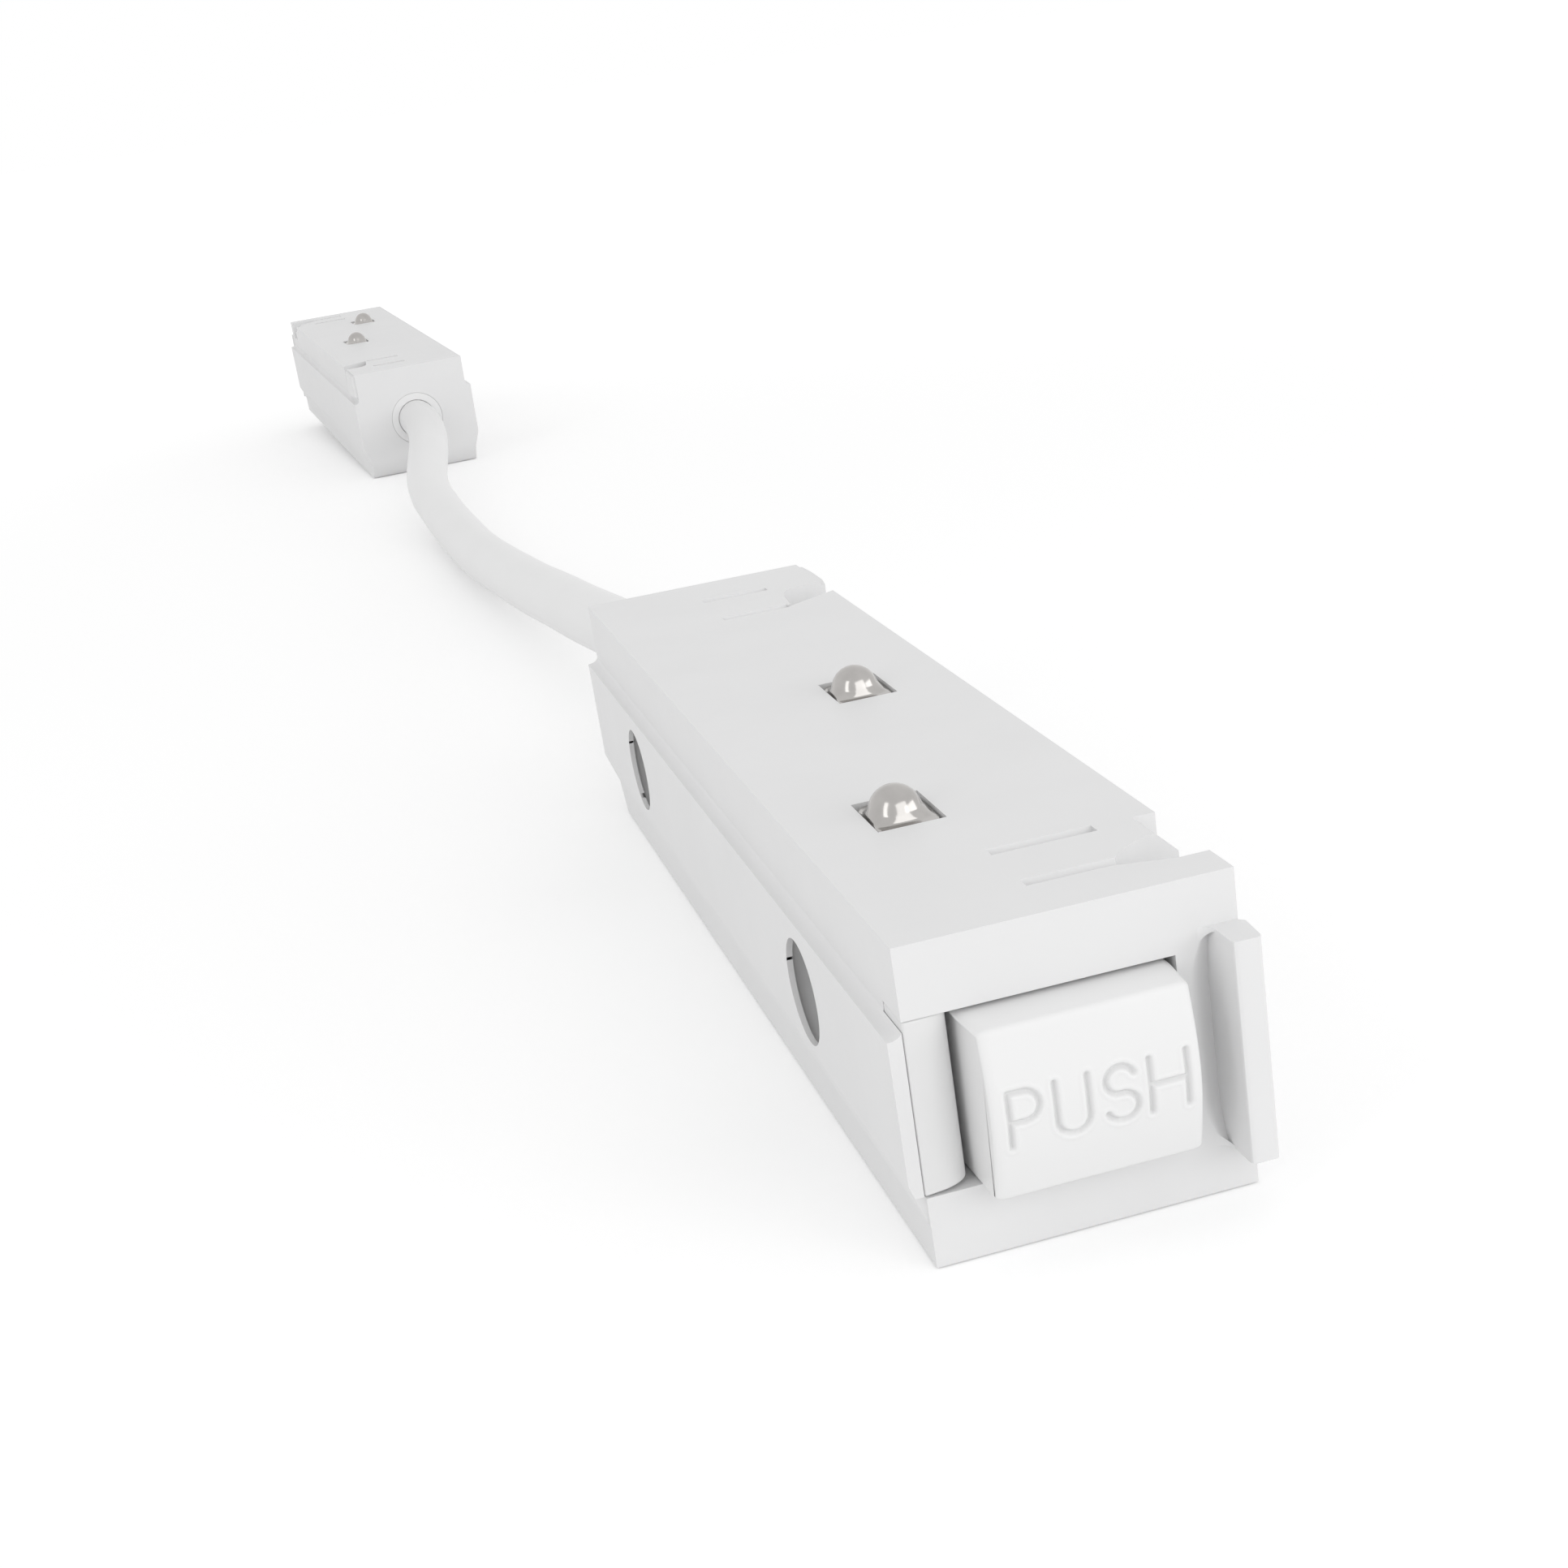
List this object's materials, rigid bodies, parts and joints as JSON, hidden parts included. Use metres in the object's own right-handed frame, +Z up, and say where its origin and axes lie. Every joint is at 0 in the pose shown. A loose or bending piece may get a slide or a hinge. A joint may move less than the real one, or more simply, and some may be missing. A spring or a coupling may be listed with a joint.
{
  "type": "magnetic track corner connector",
  "caption": "Two white plug housings for magnetic lighting track, joined by a short round cable, each with a push button, sprung contacts and side rails.",
  "frame": {"origin": "Centre of the underside of the near housing, on the surface it rests on.", "axes": "+Y runs from the near housing's push button end to its cable end and on to the far housing, +Z up, +X across to the lug side of the near housing."},
  "size_m": [0.0362, 0.4562, 0.0265],
  "materials": {
    "housing_white": "white moulded plastic, fine satin grain",
    "button_white": "white satin plastic",
    "cheek_white": "white satin plastic",
    "base_white": "white moulded plastic",
    "gland_white": "white soft plastic",
    "cable_white": "white smooth flexible cable sheath",
    "carrier_black": "black insulating plastic",
    "contact_nickel": "bright nickel plating",
    "spring_steel": "bare spring wire",
    "screw_steel": "zinc plated steel"
  },
  "bodies": {
    "frame": {"near_body": "housing_white", "near_base": "base_white", "near_button_spring": "spring_steel", "near_cheek": "cheek_white", "near_carrier": "carrier_black", "near_contact_spring_1": "spring_steel", "near_contact_spring_2": "spring_steel", "near_gland": "gland_white", "near_screw_1": "screw_steel", "near_screw_2": "screw_steel", "far_body": "housing_white", "far_base": "base_white", "far_button_spring": "spring_steel", "far_cheek": "cheek_white", "far_carrier": "carrier_black", "far_contact_spring_1": "spring_steel", "far_contact_spring_2": "spring_steel", "far_gland": "gland_white", "far_screw_1": "screw_steel", "far_screw_2": "screw_steel", "cable": "cable_white"},
    "near_push_button": {"near_button": "button_white"},
    "near_plunger_1": {"near_contact_1": "contact_nickel"},
    "near_plunger_2": {"near_contact_2": "contact_nickel"},
    "far_push_button": {"far_button": "button_white"},
    "far_plunger_1": {"far_contact_1": "contact_nickel"},
    "far_plunger_2": {"far_contact_2": "contact_nickel"}
  },
  "joints": [
    {"name": "near_button_push", "type": "slide", "parent": "frame", "child": "near_push_button", "axis": [0, 1, 0], "range_m": [0, 0.0018], "stiffness_N_per_m": 300, "springref_m": -0.002, "deforming": ["near_button_spring"]},
    {"name": "near_contact_1_press", "type": "slide", "parent": "frame", "child": "near_plunger_1", "axis": [0, 0, -1], "range_m": [0, 0.0014], "stiffness_N_per_m": 250, "springref_m": -0.0015, "deforming": ["near_contact_spring_1"]},
    {"name": "near_contact_2_press", "type": "slide", "parent": "frame", "child": "near_plunger_2", "axis": [0, 0, -1], "range_m": [0, 0.0014], "stiffness_N_per_m": 250, "springref_m": -0.0015, "deforming": ["near_contact_spring_2"]},
    {"name": "far_button_push", "type": "slide", "parent": "frame", "child": "far_push_button", "axis": [0.0671, -0.997, -0.0384], "range_m": [0, 0.0018], "stiffness_N_per_m": 300, "springref_m": -0.002, "deforming": ["far_button_spring"]},
    {"name": "far_contact_1_press", "type": "slide", "parent": "frame", "child": "far_plunger_1", "axis": [-0.0026, 0.0383, -0.9993], "range_m": [0, 0.0014], "stiffness_N_per_m": 250, "springref_m": -0.0015, "deforming": ["far_contact_spring_1"]},
    {"name": "far_contact_2_press", "type": "slide", "parent": "frame", "child": "far_plunger_2", "axis": [-0.0026, 0.0383, -0.9993], "range_m": [0, 0.0014], "stiffness_N_per_m": 250, "springref_m": -0.0015, "deforming": ["far_contact_spring_2"]}
  ]
}
